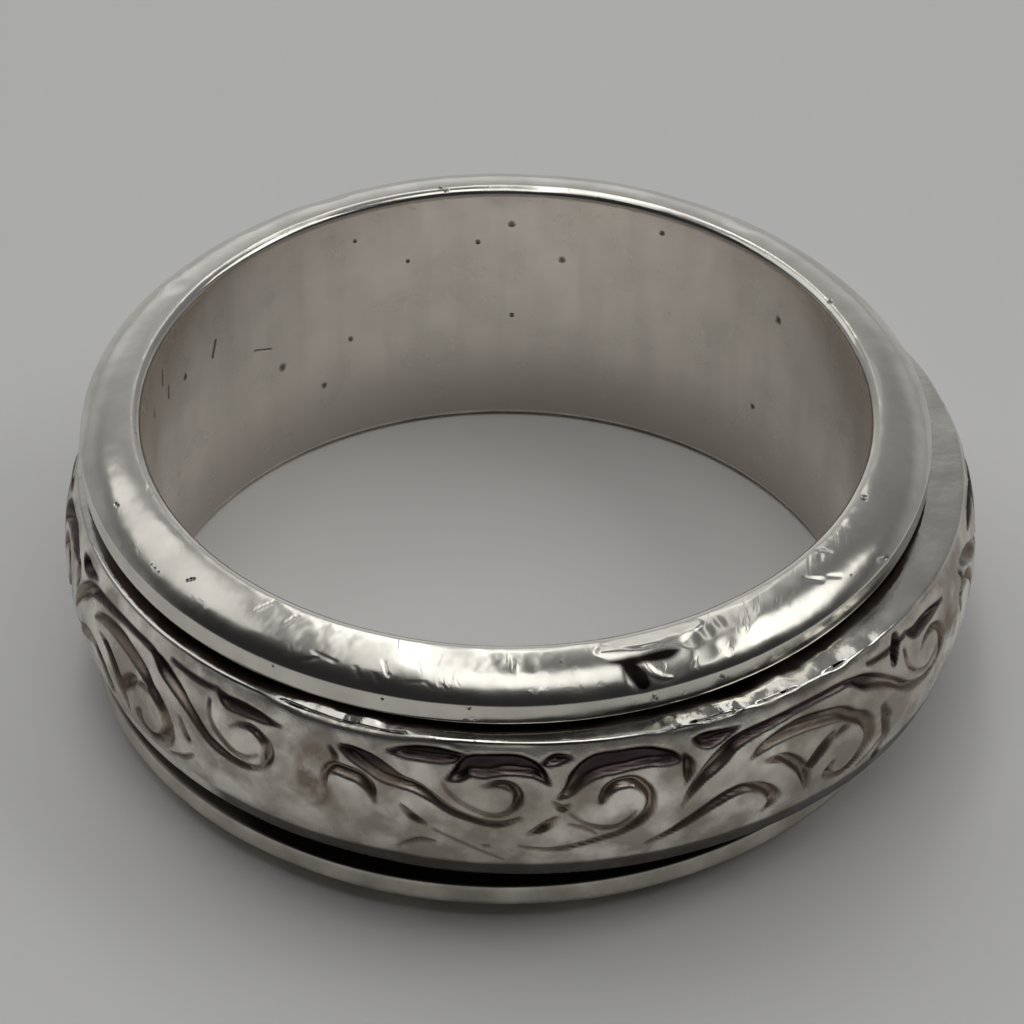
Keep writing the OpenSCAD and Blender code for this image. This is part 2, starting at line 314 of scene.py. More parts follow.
# Tones of the polished silver, as linear red, green and blue
RIM_BRIGHT = (0.8, 0.775, 0.7)
RIM_CLOUDED = (0.66, 0.64, 0.58)
# Tones of the lower rim, darker and duller than the upper rim's
LOWER_RIM_BRIGHT = (0.78, 0.74, 0.66)
LOWER_RIM_CLOUDED = (0.48, 0.44, 0.385)
BORE_BRIGHT = (0.85, 0.79, 0.72)
BORE_CLOUDED = (0.77, 0.715, 0.65)
BORE_STREAKED = (0.66, 0.61, 0.55)
# Painted shade, darker towards the bottom of the bore
BORE_LOW_SHADE = (0.52, 0.475, 0.43)
# Painted shade in the channel between the parts
CHANNEL_SHADE = (0.1, 0.075, 0.065)
# Near-black painted shade in the rim's damage and along its straight side
PAINTED_SHADE_BLACK = (0.012, 0.009, 0.008)
PIT_DARK = (0.05, 0.04, 0.032)

# Tones of the oxidised silver
FACE_BRIGHT = (0.93, 0.9, 0.82)
FACE_CLOUDED = (0.46, 0.42, 0.365)
FACE_BLOTTED = (0.3, 0.26, 0.21)
FACE_STAINED = (0.2, 0.15, 0.11)
FLOOR_PALE = (0.36, 0.305, 0.255)
FLOOR_DARK = (0.22, 0.18, 0.145)
FOOT_DARK = (0.08, 0.06, 0.05)
OXIDE_BLACK = (0.06, 0.042, 0.045)
SHOULDER_POLISHED = (0.72, 0.7, 0.64)
# Painted shade on the spinner band's lower bevel
UNDERSIDE_SHADE = (0.06, 0.048, 0.038)
# A painted highlight on one stretch of the lower bevel
UNDERSIDE_HIGHLIGHT = (0.93, 0.91, 0.82)
# Painted shade on the spinner band's bore, against the sleeve
HIDDEN_SHADE = (0.08, 0.06, 0.05)

# Tones of the table and of the room
TABLE_DEEP = (0.81, 0.805, 0.79)
TABLE_PALE = (0.85, 0.845, 0.83)
ROOM_LIGHT = (0.97, 0.98, 1)

# Soft lights, each a level rectangle: (name, across, back, width, depth, turn in degrees, brightness).
# All lengths are in units of the lights' own height above the table.
SKY_HEIGHT = 0.32
SOFTBOXES = [
    ("left_softbox", -1.0, 0.6, 1.2, 1.05, -22, 0.7),
    ("middle_softbox", -0.1, 0.33, 0.16, 1.5, -3, 1.6),
    ("middle_left_softbox", -0.27, 0.1, 0.2, 0.9, -20, 0.9),
    ("front_softbox", 0.11, -0.28, 0.52, 0.48, 0, 1.45),
    ("bar_softbox", 0.06, 0.94, 0.28, 0.28, 0, 1.2),
    ("slanting_softbox", 0.27, 0.55, 0.14, 0.85, 25, 0.9),
    ("right_softbox", 1.1, 0.0, 1.0, 0.75, 20, 1.55),
]

# The direction of the bright part of the room behind the ring
BACK_WINDOW = (-0.12, 0.97, 0.2)


def line_points(start, end, count):
    """Points from start towards end, without the end itself."""
    return [
        (start[0] + (end[0] - start[0]) * i / count, start[1] + (end[1] - start[1]) * i / count)
        for i in range(count)
    ]


def arc_points(centre, radius, start, end, count):
    """Points on an arc from one angle to another, in degrees, without the end itself."""
    angles = [math.radians(start + (end - start) * i / count) for i in range(count)]
    return [(centre[0] + radius * math.cos(a), centre[1] + radius * math.sin(a)) for a in angles]


def spun_band(name, profile):
    """A ring made by spinning a closed profile of (radius, height) points about the Z axis.

    One wedge is spun first and then copied round, which is quicker than one long spin.
    """
    wedges = steps_round // steps_in_a_wedge
    shape = bmesh.new()
    row_layer = shape.verts.layers.int.new("row")
    ring = []
    for row, (radius, height) in enumerate(profile):
        vertex = shape.verts.new((radius, 0, height))
        vertex[row_layer] = row
        ring.append(vertex)
    edges = [shape.edges.new((ring[i - 1], ring[i])) for i in range(len(ring))]
    turn = math.tau / wedges
    bmesh.ops.spin(
        shape, geom=ring + edges, cent=(0, 0, 0), axis=(0, 0, 1), angle=turn, steps=steps_in_a_wedge)
    wedge = list(shape.verts) + list(shape.edges) + list(shape.faces)
    bmesh.ops.spin(
        shape, geom=wedge, cent=(0, 0, 0), axis=(0, 0, 1), angle=math.tau - turn, steps=wedges - 1,
        use_duplicate=True)
    bmesh.ops.remove_doubles(shape, verts=shape.verts, dist=weld_gap)
    bmesh.ops.recalc_face_normals(shape, faces=shape.faces)
    mesh = bpy.data.meshes.new(name)
    shape.to_mesh(mesh)
    shape.free()
    mesh.shade_smooth()
    piece = bpy.data.objects.new(name, mesh)
    bpy.context.scene.collection.objects.link(piece)
    return piece


def read_points(piece):
    """The piece's vertices as an array of x, y and z."""
    points = np.zeros(len(piece.data.vertices) * 3)
    piece.data.vertices.foreach_get("co", points)
    return points.reshape(-1, 3)


def write_points(piece, points):
    """Moves the piece's vertices to the given places."""
    piece.data.vertices.foreach_set("co", points.reshape(-1))
    piece.data.update()


def rows_of(piece):
    """Which row of the spun profile each vertex belongs to."""
    rows = np.zeros(len(piece.data.vertices), dtype=np.int32)
    piece.data.attributes["row"].data.foreach_get("value", rows)
    return rows


def profile_normals(profile):
    """The direction out of the metal, as (radial, upward), at each point of a closed profile."""
    points = np.array(profile)
    ahead = np.roll(points, -1, axis=0) - np.roll(points, 1, axis=0)
    ahead /= np.linalg.norm(ahead, axis=1)[:, None]
    return np.stack([-ahead[:, 1], ahead[:, 0]], axis=1)


def along_profile(profile, zero_row):
    """The distance along the profile from one of its rows to each row, negative before it."""
    points = np.array(profile)
    steps = np.linalg.norm(np.diff(points, axis=0), axis=1)
    along = np.concatenate([[0], np.cumsum(steps)])
    return along - along[zero_row]


def bearings_of(points):
    """Each point's bearing in degrees, from 0 to 360."""
    return np.degrees(np.arctan2(points[:, 1], points[:, 0])) % 360


def push_out(points, normals, amount):
    """Moves points of a spun band out of the metal, or into it where the amount is negative."""
    outward = points[:, :2] / np.hypot(points[:, 0], points[:, 1])[:, None]
    points[:, :2] += outward * (amount * normals[:, 0])[:, None]
    points[:, 2] += amount * normals[:, 1]


def store(piece, name, values):
    """Keeps one number for each vertex, which a material can read."""
    layer = piece.data.attributes.new(name, "FLOAT", "POINT")
    layer.data.foreach_set("value", np.ascontiguousarray(values, dtype=np.float32))


def rise(values, start, reach):
    """0 up to the start, 1 from a reach further on, and a smooth rise between them."""
    t = np.clip((values - start) / reach, 0, 1)
    return t * t * (3 - 2 * t)


def fall(values, start, reach):
    """1 up to the start, 0 from a reach further on, and a smooth fall between them."""
    return 1 - rise(values, start, reach)


def ramp(values, start, reach):
    """0 up to the start, 1 from a reach further on, and a nearly straight slope with rounded ends."""
    t = np.clip((values - start) / reach, 0, 1)
    return 0.55 * t + 0.45 * rise(t, 0, 1)


def lumps(points, where, layers):
    """Smooth random lumps at the chosen points, in layers of (size, height either way, seed)."""
    push = np.zeros(len(points))
    for size, height, seed in layers:
        shift = Vector([seed * step for step in SEED_STEPS])
        for i in np.nonzero(where)[0]:
            push[i] += height * noise.noise(Vector(points[i] / size) + shift)
    return push


def turned(bearing, centre):
    """The turn from a centre bearing to each bearing, from -180 to 180 degrees."""
    return (bearing - centre + 180) % 360 - 180


def smoothed(points, steps=6):
    """Points along a smooth curve through the given ones, with some steps from each to the next."""
    points = [np.array(p, dtype=float) for p in points]
    curve = []
    for i in range(len(points) - 1):
        a = points[max(i - 1, 0)]
        b = points[i]
        c = points[i + 1]
        d = points[min(i + 2, len(points) - 1)]
        for k in range(steps):
            t = k / steps
            bend = t**2 * (a - 2.5 * b + 2 * c - d / 2) + t**3 * (3 * b - a - 3 * c + d) / 2
            curve.append(b + t * (c - a) / 2 + bend)
    curve.append(points[-1])
    return np.array(curve)


def inside_groove(across, up, groove):
    """How far each point lies inside a groove's edge, in millimetres, and the groove's half width there."""
    depth_in = np.full(across.shape, FAR_OFF)
    half_width = np.zeros(across.shape)
    for start, end in zip(groove[:-1], groove[1:]):
        run = end[:2] - start[:2]
        share = ((across - start[0]) * run[0] + (up - start[1]) * run[1]) / max(run @ run, 1e-9)
        share = np.clip(share, 0, 1)
        gap = np.hypot(across - start[0] - share * run[0], up - start[1] - share * run[1])
        half = (start[2] + share * (end[2] - start[2])) / 2
        nearer = half - gap > depth_in
        depth_in = np.where(nearer, half - gap, depth_in)
        half_width = np.where(nearer, half, half_width)
    return depth_in, half_width


def inner_profile():
    """The closed section of the sleeve and both rims, and the row of the upper rim's crest."""
    back_centre = (crest_radius, half_height - rim_back_radius)
    corner_angle = 90 - math.degrees(rim_back_length / rim_back_radius)
    corner = (rim_radius, channel_half_height + rim_side)
    mouth_centre = (crest_radius, half_height - mouth_rounding)
    lip_centre = (rim_radius - lip_rounding, lip_height)
    ledge = [(lip_centre[0], channel_half_height), (sleeve_radius, channel_half_height)]

    def rim(mouth_rows, back_rows, side_rows):
        points = arc_points(mouth_centre, mouth_rounding, 180, 90, mouth_rows)
        points += arc_points(back_centre, rim_back_radius, 90, corner_angle, back_rows)
        points += line_points(corner, (rim_radius, lip_height), side_rows)
        points += arc_points(lip_centre, lip_rounding, 0, -90, count=2)
        points += line_points(*ledge, count=2)
        return points

    crest_row = 6
    upper = rim(mouth_rows=crest_row, back_rows=40, side_rows=9)
    lower = [(radius, -height) for radius, height in reversed(rim(mouth_rows=4, back_rows=8, side_rows=5))]
    bore_end = half_height - mouth_rounding
    bore = line_points((bore_radius, -bore_end), (bore_radius, bore_end), count=6)[1:]
    channel = [(sleeve_radius, channel_half_height), (sleeve_radius, -channel_half_height)]
    return bore + upper + channel + lower, len(bore) + crest_row


def hollowed(bearing, along):
    """How far the hollows push each point of the rim's back into the metal."""
    push = np.zeros(len(bearing))
    for _, middle, distance, half_length, inner, outer, depth in RIM_HOLLOWS:
        across = turned(bearing, middle) * rim_degree / half_length
        out = along - distance
        out = np.where(out < 0, out / inner, out / outer)
        share = np.clip(1 - across**2 - out**2, 0, 1)
        push = np.minimum(push, -depth * share**1.5)
    return push * fall(along, rim_back_length, reach=0.3)


def inside_rim_line(bearing, along, line):
    """Where points lie about a line drawn on the rim's back.

    Gives which points are near it, how far inside it those lie, and its half width there.
    """
    middle = line[len(line) // 2][0]
    across = turned(bearing, middle) * rim_degree
    near = abs(across) < rim_line_reach
    places = [((place - middle) * rim_degree, distance, width) for place, distance, width in line]
    groove = smoothed(places, steps=4)
    inside, half = inside_groove(across[near], along[near], groove)
    return near, inside, half


def marked(bearing, along):
    """How far the nicks and lips push each point of the rim's back out of the metal, or into it."""
    push = np.zeros(len(bearing))
    for _, depth, line in RIM_MARKS:
        near, inside, half = inside_rim_line(bearing, along, line)
        push[near] -= depth * rise(inside / half, start=-0.6, reach=1.6)
    return push


def roughened(bearing, along):
    """Small hammered lumps in the rim where wear has left it rough."""
    share = np.zeros(len(bearing))
    for middle, half_width, distance, half_reach in ROUGH_PATCHES:
        gap = (turned(bearing, middle) / half_width) ** 2 + ((along - distance) / half_reach) ** 2
        share = np.maximum(share, np.clip(1.4 - gap, 0, 1))
    places = np.stack([bearing * ROUGH_GRAIN[0], along * ROUGH_GRAIN[1], np.zeros(len(bearing))], axis=1)
    return share * lumps(places, share > 0, ROUGH_LUMPS)


def shade_in_damage(bearing, along):
    """How much painted shade, standing for shadow and dark reflection, lies in the deep damage in the rim's
    back at each point.
    """
    share = np.zeros(len(bearing))
    for line in RIM_DAMAGE_SHADE:
        near, inside, _ = inside_rim_line(bearing, along, line)
        share[near] = np.maximum(share[near], rise(inside, start=-0.084, reach=0.14))
    return share


def side_shaded(bearing, along):
    """How much painted shade, standing for the spinner band's shadow and dark reflection, lies on the strip
    along the outside of the rim's straight side at each point.
    """
    edge_bearings, edges = zip(*SIDE_SHADE_STARTS)
    edge = np.interp(bearing, edge_bearings, edges)
    across = rise(along, edge, reach=0.04) * fall(along, start=2.08, reach=0.03)
    round_the_rim = rise(bearing, start=268, reach=6) * fall(bearing, start=326, reach=8)
    return 0.85 * across * round_the_rim


def make_inner_band():
    """The sleeve with its two rolled rims, dented and hammered by wear."""
    profile, crest_row = inner_profile()
    piece = spun_band("inner_band_silver", profile)
    points = read_points(piece)
    rows = rows_of(piece)
    normals = profile_normals(profile)[rows]
    along = along_profile(profile, crest_row)[rows]
    bearing = bearings_of(points)
    radius = np.hypot(points[:, 0], points[:, 1])
    height = points[:, 2]
    on_rim = (radius > bore_radius + 0.005) & (abs(height) > lip_height)
    upper = on_rim & (height > 0)
    lower = on_rim & (height < 0)
    push = lumps(points, on_rim, BOTH_RIMS_LUMPS)
    push += lumps(points, upper, UPPER_RIM_LUMPS)
    push += lumps(points, lower, LOWER_RIM_LUMPS)
    push[upper] += roughened(bearing[upper], along[upper])
    push[upper] += hollowed(bearing[upper], along[upper])
    push[upper] += marked(bearing[upper], along[upper])
    push *= rise(radius, bore_radius, reach=0.2) * rise(abs(height), lip_height, reach=0.1)
    push_out(points, normals, push)
    points[:, 2] = np.clip(points[:, 2], -half_height, half_height)
    write_points(piece, points * MM)
    height = points[:, 2]
    in_bore = radius < bore_radius + 0.01
    in_channel = (radius > bore_radius + 0.1) & (abs(height) < lip_height)
    lower_ledge = height < -channel_half_height + lip_rounding
    store(piece, "bore", in_bore)
    # Painted shade in the channel between the parts, weaker on the lower ledge
    store(piece, "channel", in_channel * np.where(lower_ledge, 0.75, 1))
    # Painted shade, darker towards the bottom of the bore
    store(piece, "low", in_bore * fall(height, start=-3.6, reach=2.8))
    store(piece, "dull", lower)
    # Painted shade in the rim's damage and along the rim's straight side
    store(piece, "grime", upper * np.maximum(shade_in_damage(bearing, along), side_shaded(bearing, along)))
    return piece


def band_profile():
    """The closed section of the spinner band, going up the bore and over the upper shoulder first."""
    arc_radius = (face_half_height**2 + face_swell**2) / (2 * face_swell)
    arc_centre = (face_radius - arc_radius, 0)
    edge_angle = math.degrees(math.asin((face_half_height - edge_rounding * 0.6) / arc_radius))
    bevel_angle = math.degrees(math.asin(bevel_top / arc_radius))
    bevel_start = (arc_centre[0] + arc_radius * math.cos(math.radians(bevel_angle)), bevel_top)
    lower_edge = (band_edge_radius - lower_edge_inset, -band_half_height - lower_edge_drop)
    lower_ledge = (lower_edge[0] - lower_edge_width, lower_edge[1])
    edge_centre = (band_edge_radius - edge_rounding, face_half_height - edge_rounding)
    upper_corner = (band_bore_radius + corner_rounding, band_half_height - corner_rounding)
    lower_corner = (upper_corner[0], -upper_corner[1])
    points = arc_points(upper_corner, corner_rounding, 180, 90, count=2)
    points += line_points((upper_corner[0], band_half_height), (edge_centre[0], face_half_height), count=9)
    points += arc_points(edge_centre, edge_rounding, 85, edge_angle + 6, count=3)
    points += arc_points(arc_centre, arc_radius, edge_angle, bevel_angle, count=62)
    points += line_points(bevel_start, lower_edge, count=6)
    points.append(lower_edge)
    points += line_points(lower_ledge, (lower_corner[0], -band_half_height), count=2)
    points += arc_points(lower_corner, corner_rounding, 270, 180, count=2)
    return points


def grooves_round_the_band():
    """Every groove as a smooth line, with its bearings round the band in degrees."""
    ends = REPEAT_LENGTH * np.arange(len(REPEAT_STARTS))
    lines = [smoothed(groove) for groove in LONE_GROOVES.values()]
    for groove in GROOVES.values():
        for repeat in range(REPEAT_COUNT):
            line = smoothed(groove)
            line[:, 0] = np.interp(line[:, 0] + repeat * REPEAT_LENGTH, ends, REPEAT_STARTS)
            lines.append(line)
    return lines


def groove_depths(bearing, height):
    """How deep the relief is cut at each point of the face, and how far inside a groove the point lies."""
    up_scale = face_height / 100
    up = height + face_half_height
    depth = np.zeros(bearing.shape)
    nearest = np.full(bearing.shape, FAR_OFF)
    for line in grooves_round_the_band():
        middle = line[:, 0].mean()
        across = turned(bearing, middle) * face_degree
        line = (line - np.array([middle, 0, 0])) * np.array([face_degree, up_scale, up_scale])
        near = abs(across) < abs(line[:, 0]).max() + groove_reach
        inside, half = inside_groove(across[near], up[near], line)
        full = relief_depth * np.minimum(least_depth_share + half / deepening_half_width, 1)
        depth[near] = np.maximum(depth[near], full * ramp(inside, groove_wall_start, groove_wall))
        nearest[near] = np.maximum(nearest[near], inside)
    return depth, nearest


def edge_dents(bearing, height, radius):
    """How far dents push the crisp upper edge and the shoulder into the metal."""
    off_edge = ((height - face_half_height) / 0.14) ** 2 + ((radius - band_edge_radius) / 0.3) ** 2
    near_edge = np.exp(-off_edge)
    push = np.zeros(len(bearing))
    for middle, half_width, depth in EDGE_DENTS:
        push -= depth * np.exp(-(turned(bearing, middle) / half_width) ** 2) * near_edge
    return push


def stained(bearing, height):
    """How brown the face is at each point, in blotches that tarnish has left."""
    share = np.zeros(len(bearing))
    for middle, half_width, level, half_reach in STAINS:
        gap = (turned(bearing, middle) / half_width) ** 2 + ((height - level) / half_reach) ** 2
        share = np.maximum(share, fall(gap, start=0.5, reach=1))
    return share


def hammered_shoulder(points, bearing, shoulder):
    """Lumps in the upper shoulder, small all round and large where it was struck."""
    struck = np.zeros(len(points))
    for middle, half_width in STRUCK_SHOULDER:
        gap = abs(turned(bearing, middle)) / half_width
        struck = np.maximum(struck, fall(gap, start=0.5, reach=1))
    struck_lumps = lumps(points, shoulder & (struck > 0), STRUCK_LUMPS)
    return lumps(points, shoulder, SHOULDER_LUMPS) + struck * (struck_lumps - 0.02)


def band_matrix():
    """Where the spinner band lies: leaning, and pushed to one side."""
    lean = Vector((0, 0, 1)).rotation_difference(band_axis)
    return Matrix.Translation(band_centre) @ lean.to_matrix().to_4x4()


def make_spinner_band():
    """The loose band with its scroll relief, as it lies in the channel."""
    profile = band_profile()
    piece = spun_band("spinner_band_silver", profile)
    points = read_points(piece)
    rows = rows_of(piece)
    normals = profile_normals(profile)[rows]
    bearing = bearings_of(points)
    radius = np.hypot(points[:, 0], points[:, 1])
    height = points[:, 2].copy()
    on_face = (radius > band_edge_radius - 0.02) & (abs(height) < face_half_height - edge_rounding)
    shoulder = (radius > band_bore_radius + 0.1) & (height > face_half_height - 0.05)
    depth = np.zeros(len(points))
    inside = np.full(len(points), FAR_OFF)
    depth[on_face], inside[on_face] = groove_depths(bearing[on_face], height[on_face])
    push = lumps(points, on_face, FACE_LUMPS) - depth
    push += hammered_shoulder(points, bearing, shoulder)
    push += edge_dents(bearing, height, radius)
    push_out(points, normals, np.minimum(push, 0))
    write_points(piece, points * MM)
    piece.data.transform(band_matrix())
    sunk = rise(inside, start=-0.06, reach=0.09)
    bevel = fall(height, start=bevel_top - 0.03, reach=0.05)
    # The stretch of the lower bevel, about bearing 219, that carries a painted highlight
    rubbed = fall(abs(turned(bearing, 219)), start=7, reach=5)
    store(piece, "sunk", sunk)
    store(piece, "foot", np.exp(-((inside - 0.08) / 0.06) ** 2))
    store(piece, "black", sunk * rise(height, start=0.85, reach=0.3))
    store(piece, "stain", stained(bearing, height))
    store(piece, "polish", rise(height, start=face_half_height - 0.12, reach=0.08))
    # Painted shade on the lower bevel, except along the stretch with the painted highlight
    store(piece, "under", bevel * (1 - rubbed))
    # A painted highlight along that stretch of the lower bevel
    store(piece, "rubbed", bevel * rubbed)
    # Painted shade on the spinner band's bore, against the sleeve
    store(piece, "hidden", radius < band_bore_radius + 0.05)
    return piece


def new_material(name):
    """A node material with its shader, as (material, nodes, links, shader)."""
    material = bpy.data.materials.new(name)
    material.use_nodes = True
    nodes = material.node_tree.nodes
    links = material.node_tree.links
    return material, nodes, links, nodes["Principled BSDF"]


def own_number(nodes, name):
    """A number that the piece keeps for each vertex."""
    reader = nodes.new("ShaderNodeAttribute")
    reader.attribute_name = name
    return reader.outputs["Fac"]


def cloud(nodes, links, scale, detail, stretch=(1, 1, 1)):
    """Noise over the object, with its size given as lumps to the metre."""
    place = nodes.new("ShaderNodeTexCoord")
    mapping = nodes.new("ShaderNodeMapping")
    mapping.inputs["Scale"].default_value = stretch
    pattern = nodes.new("ShaderNodeTexNoise")
    pattern.inputs["Scale"].default_value = scale
    pattern.inputs["Detail"].default_value = detail
    links.new(place.outputs["Object"], mapping.inputs["Vector"])
    links.new(mapping.outputs["Vector"], pattern.inputs["Vector"])
    return pattern.outputs["Fac"]


def ranged(nodes, links, value, low, high, to_low=0, to_high=1):
    """A number moved from one range to another and kept within it."""
    step = nodes.new("ShaderNodeMapRange")
    step.inputs["From Min"].default_value = low
    step.inputs["From Max"].default_value = high
    step.inputs["To Min"].default_value = to_low
    step.inputs["To Max"].default_value = to_high
    links.new(value, step.inputs["Value"])
    return step.outputs["Result"]


def clouded(nodes, links, scale, detail, low, high, stretch=(1, 1, 1)):
    """A share that follows noise over the object: 0 where the noise is low, and 1 where it is high."""
    return ranged(nodes, links, cloud(nodes, links, scale, detail, stretch), low, high)


def blended(nodes, links, share, first, second):
    """Two colours, or outputs that carry colours, mixed by a share."""
    mix = nodes.new("ShaderNodeMix")
    mix.data_type = "RGBA"
    links.new(share, mix.inputs["Factor"])
    for colour, socket in ((first, mix.inputs["A"]), (second, mix.inputs["B"])):
        if isinstance(colour, tuple):
            socket.default_value = (*colour, 1)
        else:
            links.new(colour, socket)
    return mix.outputs["Result"]


def combined(nodes, links, operation, first, second):
    """Two numbers, or outputs that carry numbers, put together by one operation of arithmetic."""
    step = nodes.new("ShaderNodeMath")
    step.operation = operation
    for value, socket in ((first, step.inputs[0]), (second, step.inputs[1])):
        if isinstance(value, (int, float)):
            socket.default_value = value
        else:
            links.new(value, socket)
    return step.outputs["Value"]


def painted(nodes, links, base, colour, mask, strength):
    """A colour laid over another one where a mask is, up to a strength."""
    return blended(nodes, links, combined(nodes, links, "MULTIPLY", mask, strength), base, colour)


def added(nodes, links, base, number, amount):
    """A number with a certain amount of another one added to it."""
    return combined(nodes, links, "ADD", base, combined(nodes, links, "MULTIPLY", number, amount))


def raised(nodes, links, shader, height, distance, strength):
    """Gives the shader fine relief from a height."""
    bump = nodes.new("ShaderNodeBump")
    bump.inputs["Distance"].default_value = distance
    bump.inputs["Strength"].default_value = strength
    links.new(height, bump.inputs["Height"])
    links.new(bump.outputs["Normal"], shader.inputs["Normal"])


def slash_pits(start, end, radius):
    """The pits that make up a slash, from one end to the other, so close that they run together."""
    run = math.hypot(math.radians(end[0] - start[0]) * bore_radius, end[1] - start[1])
    spacing = 1.2 * radius
    count = math.ceil(run / spacing)
    return [(*place, radius) for place in line_points(start, end, count) + [end]]


def pit_places():
    """The middle and the radius of each pit in the bore and in the rim's back, in metres."""
    bore_pits = BORE_PITS + [pit for slash in BORE_SLASHES for pit in slash_pits(*slash)]
    places = [(bearing, bore_radius, height, radius) for bearing, height, radius in bore_pits]
    for bearing, distance, radius in RIM_PITS:
        angle = min(distance, rim_back_length) / rim_back_radius
        reach = crest_radius + rim_back_radius * math.sin(angle)
        height = half_height - rim_back_radius * (1 - math.cos(angle)) - max(distance - rim_back_length, 0)
        places.append((bearing, reach, height, radius))
    pits = []
    for bearing, reach, height, radius in places:
        angle = math.radians(bearing)
        pits.append((reach * math.cos(angle) * MM, reach * math.sin(angle) * MM, height * MM, radius * MM))
    return pits


def pit_mask(nodes, links):
    """1 in the middle of each pit, falling to 0 at its edge."""
    place = nodes.new("ShaderNodeTexCoord")
    mask = None
    for x, y, z, radius in pit_places():
        gap = nodes.new("ShaderNodeVectorMath")
        gap.operation = "DISTANCE"
        gap.inputs[1].default_value = (x, y, z)
        links.new(place.outputs["Object"], gap.inputs[0])
        near = ranged(nodes, links, gap.outputs["Value"], radius * 0.3, radius * 1.2, to_low=1, to_high=0)
        mask = near if mask is None else combined(nodes, links, "MAXIMUM", mask, near)
    return mask


def polished_silver():
    """Worn polished silver, satin and pitted in the bore, with painted shade in the channel, towards the
    bottom of the bore, in the rim's damage and along its straight side.
    """
    material, nodes, links, shader = new_material("polished_silver")
    shader.inputs["Metallic"].default_value = 1
    bore = own_number(nodes, "bore")
    channel = own_number(nodes, "channel")
    low = own_number(nodes, "low")
    dull = own_number(nodes, "dull")
    grime = own_number(nodes, "grime")
    pits = pit_mask(nodes, links)
    mottle = clouded(nodes, links, scale=700, detail=5, low=0.35, high=0.65)
    scratches = clouded(nodes, links, scale=2600, detail=3, low=0.6, high=0.72, stretch=(1, 0.12, 1))
    streaks = clouded(nodes, links, scale=1100, detail=3, low=0.45, high=0.7, stretch=(1, 1, 0.1))
    rim_tone = blended(nodes, links, mottle, RIM_BRIGHT, RIM_CLOUDED)
    # The lower rim is darker and duller
    lower_rim_tone = blended(nodes, links, mottle, LOWER_RIM_BRIGHT, LOWER_RIM_CLOUDED)
    rim_tone = blended(nodes, links, dull, rim_tone, lower_rim_tone)
    bore_tone = blended(nodes, links, mottle, BORE_BRIGHT, BORE_CLOUDED)
    bore_tone = painted(nodes, links, bore_tone, BORE_STREAKED, streaks, strength=0.5)
    # Painted shade, darker towards the bottom of the bore
    bore_tone = blended(nodes, links, low, bore_tone, BORE_LOW_SHADE)
    tone = blended(nodes, links, bore, rim_tone, bore_tone)
    # Painted shade in the channel between the parts
    tone = blended(nodes, links, channel, tone, CHANNEL_SHADE)
    # Painted shade in the rim's damage and along its straight side
    tone = blended(nodes, links, grime, tone, PAINTED_SHADE_BLACK)
    tone = painted(nodes, links, tone, PIT_DARK, pits, strength=0.8)
    links.new(tone, shader.inputs["Base Color"])
    roughness = ranged(nodes, links, mottle, 0, 1, to_low=0.15, to_high=0.23)
    roughness = added(nodes, links, roughness, bore, amount=0.06)
    roughness = added(nodes, links, roughness, dull, amount=0.12)
    roughness = added(nodes, links, roughness, channel, amount=0.3)
    roughness = added(nodes, links, roughness, grime, amount=0.1)
    links.new(roughness, shader.inputs["Roughness"])
    wear = combined(nodes, links, "MULTIPLY", scratches, -0.5)
    wear = added(nodes, links, wear, mottle, amount=0.4)
    wear = added(nodes, links, wear, pits, amount=-6)
    raised(nodes, links, shader, wear, distance=0.000006, strength=1)
    return material


def oxidised_silver():
    """Satin cast silver, dark in the relief and polished at the upper shoulder, with painted shade on the
    lower bevel and on the band's bore, and a painted highlight on one stretch of the bevel.
    """
    material, nodes, links, shader = new_material("oxidised_silver")
    shader.inputs["Metallic"].default_value = 1
    sunk = own_number(nodes, "sunk")
    foot = own_number(nodes, "foot")
    black = own_number(nodes, "black")
    polish = own_number(nodes, "polish")
    under = own_number(nodes, "under")
    stain = own_number(nodes, "stain")
    rubbed = own_number(nodes, "rubbed")
    hidden = own_number(nodes, "hidden")
    mottle = clouded(nodes, links, scale=900, detail=6, low=0.4, high=0.6)
    blots = clouded(nodes, links, scale=280, detail=6, low=0.43, high=0.58)
    patches = clouded(nodes, links, scale=1300, detail=4, low=0.42, high=0.58)
    patches = ranged(nodes, links, patches, 0, 1, to_low=0.1, to_high=0.85)
    face_tone = blended(nodes, links, mottle, FACE_BRIGHT, FACE_CLOUDED)
    face_tone = painted(nodes, links, face_tone, FACE_BLOTTED, blots, strength=0.55)
    face_tone = painted(nodes, links, face_tone, FACE_STAINED, stain, strength=patches)
    floor_tone = blended(nodes, links, mottle, FLOOR_PALE, FLOOR_DARK)
    tone = blended(nodes, links, sunk, face_tone, floor_tone)
    tone = painted(nodes, links, tone, FOOT_DARK, foot, strength=0.2)
    tone = painted(nodes, links, tone, OXIDE_BLACK, black, strength=0.93)
    tone = blended(nodes, links, polish, tone, SHOULDER_POLISHED)
    # Painted shade on the lower bevel
    tone = painted(nodes, links, tone, UNDERSIDE_SHADE, under, strength=0.95)
    # A painted highlight on one stretch of the lower bevel
    tone = blended(nodes, links, rubbed, tone, UNDERSIDE_HIGHLIGHT)
    # Painted shade on the spinner band's bore, against the sleeve
    tone = blended(nodes, links, hidden, tone, HIDDEN_SHADE)
    links.new(tone, shader.inputs["Base Color"])
    roughness = ranged(nodes, links, mottle, 0, 1, to_low=0.2, to_high=0.36)
    roughness = added(nodes, links, roughness, sunk, amount=0.1)
    roughness = added(nodes, links, roughness, polish, amount=-0.14)
    links.new(roughness, shader.inputs["Roughness"])
    raised(nodes, links, shader, mottle, distance=0.00001, strength=0.7)
    return material


